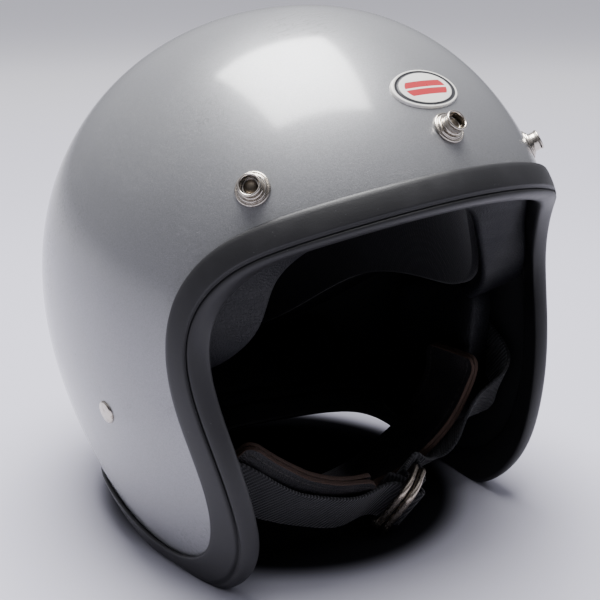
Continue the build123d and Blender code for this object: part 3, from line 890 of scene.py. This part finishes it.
def makeCheekPad(name, side):
    # an outline shrunk towards its middle on the outer and inner face; the inner face swells like a cushion
    points = np.array(cheek["outline"] + cheek["outline"][:1], float)
    extended = np.vstack((points[-4:-1], points, points[1:4]))
    places = spacing(extended)
    at = np.linspace(places[3], places[3 + len(points) - 1], 160, endpoint=False)
    loop = smoothLine(extended, places, at)
    reach = np.concatenate((np.linspace(0.03, 0.86, 28), np.linspace(0.88, 1, 12)))
    middle = np.array(cheek["middle"], float)
    place = middle + (loop[:, None, :] - middle) * reach[None, :, None]
    y, z = place[..., 0], place[..., 1]
    outer = domeSide(y, z, cheek["inset"])
    channel = np.clip((y - cheek["channelEnd"] + 4) / 8, 0, 1)
    outer = np.minimum(outer, cheek["channelWall"] + channel * 30)
    face = domeSide(y, z, cheek["inset"] + cheek["thickness"])
    share = pillow(np.broadcast_to(reach, y.shape), 4.5)
    swell = cheek["swell"] * (1 - np.broadcast_to(reach, y.shape) ** 2)
    mid = (outer + face) / 2
    inner = mid + (face - swell - mid) * share
    outside = mid + (outer - mid) * pillow(np.broadcast_to(reach, y.shape), 9)
    top = np.stack((side * outside, y, z), -1)
    under = np.stack((side * inner, y, z), -1)
    grid = np.concatenate((top, under[:, -2::-1]), 1)
    piece = gridPiece(name, grid, leatherette, wrapRows=True, capColumns=True)
    replaced = "cheek_pad_left" if side > 0 else "cheek_pad_right"
    finishPiece(piece, "helmet", [replaced])


makeCheekPad("cheek_pad_right_cushion", -1)
makeCheekPad("cheek_pad_left_cushion", 1)

neck = dict(
    line=((20, 70), (34, 64), (58, 53.5), (84, 41), (112, 35), (150, 34)),
    half=((20, 28), (36, 28), (60, 23), (84, 17), (112, 15), (150, 14)),
    startY=36, inner=4.6, outer=26.0, stations=300, around=44,
)


def makeNeckRoll():
    # a soft oval section carried round the nape and closed over at its two ends
    line = SideLine(neck["line"])
    dense = np.linspace(math.pi / 2, math.pi, 4001)
    probe = line.loop(dense, 0, 15)
    first = dense[np.flatnonzero(probe[:, 1] > neck["startY"])[0]]
    turns = line.evenTurns(neck["stations"], 0, 15, first, 2 * math.pi - first, closed=False)
    half = np.interp(line.points[:, 0], [y for y, h in neck["half"]], [h for y, h in neck["half"]])
    angle = np.linspace(0, 2 * math.pi, neck["around"], endpoint=False)
    middle, depth = (neck["inner"] + neck["outer"]) / 2, (neck["outer"] - neck["inner"]) / 2
    rows = []
    for a in angle:
        c, s = math.cos(a), math.sin(a)
        across = math.copysign(abs(c) ** 0.62, c)
        deep = math.copysign(abs(s) ** 0.72, s)
        rows.append(line.loop(turns, half * across, middle + depth * deep))
    grid = np.stack(rows, 1)
    # close both ends with a soft taper towards the section's middle
    share = np.linspace(0, 1, len(turns))
    end = np.minimum(share, 1 - share) * 2
    taper = np.sqrt(1 - (1 - np.clip(end / 0.045, 0, 1)) ** 2)[:, None, None]
    centre = grid.mean(1, keepdims=True)
    grid = centre + (grid - centre) * (0.12 + 0.88 * taper)
    piece = gridPiece("neck_roll_cushion", grid, leatherette, wrapColumns=True, capRows=True)
    finishPiece(piece, "helmet", ["neck_roll"])


makeNeckRoll()
print("lining made")

# ---------------------------------------------------------------- chin strap

strap = dict(width=25, thickness=1.8, padWidth=34, leather=2.6, steps=520, padSteps=260)
ring = dict(wire=1.8, insideHeight=16, pitch=4.1)


def unit(vector):
    vector = np.array(vector, float)
    return vector / np.linalg.norm(vector)


ringAlong = unit((0.18, -0.52, 0.83))
ringBack = np.array((0.81, 0.55, 0.16))
ringBack = unit(ringBack - ringAlong * (ringBack @ ringAlong))
ringNormal = np.cross(ringAlong, ringBack)
ringReach = ring["insideHeight"] / 2 + ring["wire"]
ringHinge = next(joint["pos_m"] for joint in frame["joints"] if joint["name"] == "ring_inner_tilt")
ringCentre = np.array(ringHinge) / mm - np.array((0, crownY, 0)) - ringBack * ringReach
loopRadius = ring["wire"] + strap["thickness"] / 2 + 0.9
hang = (0, 0.38, -0.92)
ringAcross = tuple(-ringAlong)


def nearRing(back, out):
    return tuple(ringCentre + ringBack * back + ringNormal * out)


# each station is a centre and the direction across the webbing
strapStart = [
    ((109.6, 9.5, 85.6), hang), ((109.6, -1.5, 81), hang), ((109.6, -10.5, 77.3), hang),
    ((105.5, -24, 71.5), hang), ((101, -38, 65.5), hang), ((95.5, -46.5, 61), hang), ((88, -50, 56), hang),
]
rightRing = (
    (-4.5, 4), (-3, 0), (-2.5, -4.6), (-2.2, -7.4), (-1.4, -9), (0.2, -9.6), (1.8, -9), (2.5, -7.4),
    (2.6, -4.6), (2.4, 0), (1, 5), (-1.5, 10),
)
rightRun = [
    ((-74, -51, 45.5), (0, 0.5, -0.87)), ((-56, -52.5, 34), (0, 0.6, -0.8)),
    ((-38, -54.5, 26.5), (-0.07, 0.6, -0.8)), ((-18, -56.5, 21.8), (-0.12, 0.56, -0.82)),
] + [(nearRing(back, out), ringAcross) for back, out in rightRing]
leftRing = (
    (23, 1.6), (15, 2.9), (ringReach, loopRadius), (ringReach - loopRadius * 0.7, loopRadius * 0.7),
    (ringReach - loopRadius, 0), (ringReach - loopRadius, -ring["pitch"]),
    (ringReach - loopRadius * 0.7, -ring["pitch"] - loopRadius * 0.7),
    (ringReach, -ring["pitch"] - loopRadius),
    (15, -5.4), (22, -1.2),
)
leftRun = [
    ((78, -48, 49), (0, 0.5, -0.87)), ((66, -43, 35.5), (0, 0.7, -0.7)), ((54, -39.5, 22.5), (0, 0.8, -0.6)),
    ((42, -38.8, 19.5), (-0.05, 0.75, -0.65)), ((33, -41, 21), (-0.15, 0.62, -0.77)),
] + [(nearRing(back, out), ringAcross) for back, out in leftRing]
leftAcross = (0, 0.97, -0.25)
padRuns = {
    "right": [
        ((-86, -46.5, 62.5), hang), ((-74, -48.5, 53), (0, 0.5, -0.87)), ((-56, -50.5, 41), (0, 0.6, -0.8)),
        ((-38, -52.2, 32), (-0.07, 0.6, -0.8)), ((-22, -52.8, 27), (-0.12, 0.56, -0.82)),
        ((-11, -53, 25), (-0.12, 0.56, -0.82)),
    ],
    "left": [((73, -31, 76), leftAcross), ((73, -31, 66), leftAcross), ((69, -31, 56), leftAcross),
             ((60, -28, 40), leftAcross), ((48, -22, 25), leftAcross), ((34, -15, 13.5), (0, 0.97, -0.2)),
             ((4, -11.5, 7.5), (0, 0.98, -0.18))],
}


def ribbonGrid(stations, section, steps):
    # a flat section carried along the smooth line through the stations
    # each row of the grid is the section's points at one step
    centres = np.array([centre for centre, across in stations], float)
    acrosses = np.array([unit(across) for centre, across in stations])
    places = spacing(centres)
    at = np.linspace(0, places[-1], steps)
    line = smoothLine(centres, places, at)
    across = np.stack([np.interp(at, places, acrosses[:, k]) for k in range(3)], -1)
    ahead = np.gradient(line, at, axis=0)
    ahead = ahead / np.linalg.norm(ahead, axis=1)[:, None]
    across = across - ahead * np.einsum("ij,ij->i", across, ahead)[:, None]
    across = across / np.linalg.norm(across, axis=1)[:, None]
    up = np.cross(ahead, across)
    section = np.array(section, float)
    grid = line[:, None, :] + across[:, None, :] * section[None, :, :1]
    grid = grid + up[:, None, :] * section[None, :, 1:]
    along = np.broadcast_to(spacing(line)[:, None], grid.shape[:2])
    flat = np.stack((along, np.broadcast_to(section[None, :, 0], grid.shape[:2])), -1) * mm
    return grid, flat, line, up


def flatSection(width, thickness, middle=0.0, edge=0.5, count=9):
    # a thin rounded rectangle: points along one face, round the edge, back along the other face
    half, deep = width / 2, thickness / 2
    inner = np.linspace(-half + edge, half - edge, count)
    corner = np.linspace(0, math.pi / 2, 4)[1:-1]
    points = [(x, -deep) for x in inner]
    points += [(half - edge + edge * math.sin(a), -deep + edge - edge * math.cos(a)) for a in corner]
    points += [(half, -deep + edge), (half, deep - edge)]
    points += [(half - edge + edge * math.cos(a), deep - edge + edge * math.sin(a)) for a in corner]
    points += [(x, deep) for x in inner[::-1]]
    points += [(-half + edge - edge * math.sin(a), deep - edge + edge * math.cos(a)) for a in corner]
    points += [(-half, deep - edge), (-half, -deep + edge)]
    points += [(-half + edge - edge * math.cos(a), -deep + edge - edge * math.sin(a)) for a in corner]
    return [(x, y + middle) for x, y in points]


def sided(stations, side):
    return [((side * centre[0], centre[1], centre[2]), across) for centre, across in stations]


def makeWebbings():
    runs = {"right": sided(strapStart, -1) + rightRun, "left": sided(strapStart, 1) + leftRun}
    for name, stations in runs.items():
        section = flatSection(strap["width"], strap["thickness"], 0, 0.6, 15)
        grid, flat, line, up = ribbonGrid(stations, section, strap["steps"])
        strapName = "strap_webbing_" + name
        piece = gridPiece(strapName + "_weave", grid, strapWeave, wrapColumns=True, capRows=True, flat=flat)
        finishPiece(piece, "chin_strap", [strapName])


makeWebbings()


def makeChinPads():
    # two leather layers each; the right pad's layers part a little at its free end
    for name, stations in padRuns.items():
        inward = 1 if name == "right" else -1
        for layer, sign in (("inner", 1), ("outer", -1)):
            middle = inward * sign * strap["leather"] / 2
            section = flatSection(strap["padWidth"], strap["leather"] * 0.96, middle, 0.55, 19)
            grid, flat, line, up = ribbonGrid(stations, section, strap["padSteps"])
            share = np.linspace(0, 1, len(grid))
            spread = np.zeros(len(share))
            if name == "right":
                spread = np.clip((share - 0.82) / 0.18, 0, 1) ** 2 * 1.3
            grid = grid + up[:, None, :] * (spread * inward * sign)[:, None, None]
            # corners rounded off towards the free ends
            ends = np.minimum(share, 1 - share) * spacing(line)[-1]
            narrow = 1 - 0.30 * (1 - np.sqrt(1 - (1 - np.clip(ends / 7, 0, 1)) ** 2))
            middleLine = grid.mean(1, keepdims=True)
            grid = middleLine + (grid - middleLine) * narrow[:, None, None]
            edge = (np.abs(flat[..., 1]) > (strap["padWidth"] / 2 - 0.35) * mm) | (ends < 0.6)[:, None]
            pad = "chin_pad_" + name + "_" + layer
            piece = gridPiece(pad + "_leather", grid, padLeather, wrapColumns=True, capRows=True,
                              values=dict(rawEdge=edge.astype(float)), flat=flat)
            finishPiece(piece, "chin_strap", [pad])


makeChinPads()
print("chin strap made")

# ---------------------------------------------------------------- finishes of the CAD pieces that stay

kept = {
    "impact_liner": foam, "snap_washers": steel, "rivet_washer_right": steel, "rivet_washer_left": steel,
    "strap_rivet_right": nickel, "strap_rivet_left": nickel,
    "d_ring_inner": wornNickel, "d_ring_outer": wornNickel,
}
for name, material in kept.items():
    node = nodes[name]
    if node.data.materials:
        for index in range(len(node.data.materials)):
            node.data.materials[index] = material
    else:
        node.data.materials.append(material)
print("kept pieces finished")

# ---------------------------------------------------------------- studio

studio = dict(
    # painted shade near the helmet and painted light far off: the floor's two colours and the distances between
    # which it changes
    floorSize=40.0, floorNear=(0.50, 0.49, 0.565), floorFar=(0.97, 0.955, 1.0), farStart=0.7, farStop=2.4,
    # painted shadow under the helmet: its near black colour and the half axes of its ellipse
    floorUnder=(0.012, 0.012, 0.014), underWidth=0.100, underLength=0.108,
    topPower=84, topSize=(1.05, 1.15), topAt=(0.05, 0.16, 1.60),
    skyHigh=(0.76, 0.765, 0.83), skyLow=(0.085, 0.087, 0.10), skyTurn=(0.10, 0.85), skyLean=(0.14, 0.36),
)


def makeFloor():
    half = studio["floorSize"] / 2
    corners = np.array(((-half, -half, 0), (half, -half, 0), (half, half, 0), (-half, half, 0)))
    mesh = bpy.data.meshes.new("studio_floor")
    mesh.from_pydata([tuple(corner) for corner in corners], [], [(0, 1, 2, 3)])
    floor = bpy.data.objects.new("studio_floor", mesh)
    bpy.context.scene.collection.objects.link(floor)
    finish = Finish("floorPaintedShadeAndLight", Roughness=0.9, Specular_IOR_Level=0.0)
    # painted light and shade: the floor's colour runs from mid grey near the helmet to near white far off
    away = finish.distanceTo((0, 0, 0)).ramp(studio["farStart"], studio["farStop"])
    # painted shadow: an ellipse of floor under the helmet is painted near black; it shows a little in front of the
    # rim and behind it
    x, y = finish.axis()[:2]
    share = (x * x) / studio["underWidth"] ** 2 + (y * y) / studio["underLength"] ** 2
    paintedShadowMask = 1 - share.ramp(0.7, 1.0)
    tone = finish.mix(away, studio["floorNear"], studio["floorFar"])
    finish.feed("Base Color", finish.mix(paintedShadowMask, tone, studio["floorUnder"]))
    mesh.materials.append(finish.material)


def makeLight(name, power, size, place, target):
    data = bpy.data.lights.new(name, "AREA")
    data.shape = "RECTANGLE"
    data.size, data.size_y = size
    data.energy = power
    lamp = bpy.data.objects.new(name, data)
    bpy.context.scene.collection.objects.link(lamp)
    lamp.location = place
    lamp.rotation_mode = "QUATERNION"
    lamp.rotation_quaternion = (Vector(target) - Vector(place)).to_track_quat("-Z", "Y")


def makeWorld():
    # a pale room: dim near the horizon and in front, brighter overhead and behind
    world = bpy.data.worlds.new("studioSky")
    bpy.context.scene.world = world
    world.use_nodes = True
    tree = world.node_tree
    place = tree.nodes.new("ShaderNodeTexCoord")
    rise = tree.nodes.new("ShaderNodeMapRange")
    rise.interpolation_type = "SMOOTHSTEP"
    rise.inputs["From Min"].default_value, rise.inputs["From Max"].default_value = studio["skyTurn"]
    mix = tree.nodes.new("ShaderNodeMix")
    mix.data_type = "RGBA"
    mix.inputs[6].default_value = (*studio["skyLow"], 1)
    mix.inputs[7].default_value = (*studio["skyHigh"], 1)
    lean = tree.nodes.new("ShaderNodeVectorMath")
    lean.operation = "DOT_PRODUCT"
    lean.inputs[1].default_value = (*studio["skyLean"], 1)
    tree.links.new(place.outputs["Generated"], lean.inputs[0])
    tree.links.new(lean.outputs["Value"], rise.inputs["Value"])
    tree.links.new(rise.outputs["Result"], mix.inputs[0])
    tree.links.new(mix.outputs[2], tree.nodes["Background"].inputs["Color"])


makeFloor()
makeWorld()
makeLight("topLight", studio["topPower"], studio["topSize"], studio["topAt"], (0.02, 0.04, 0.2))
print("studio made")
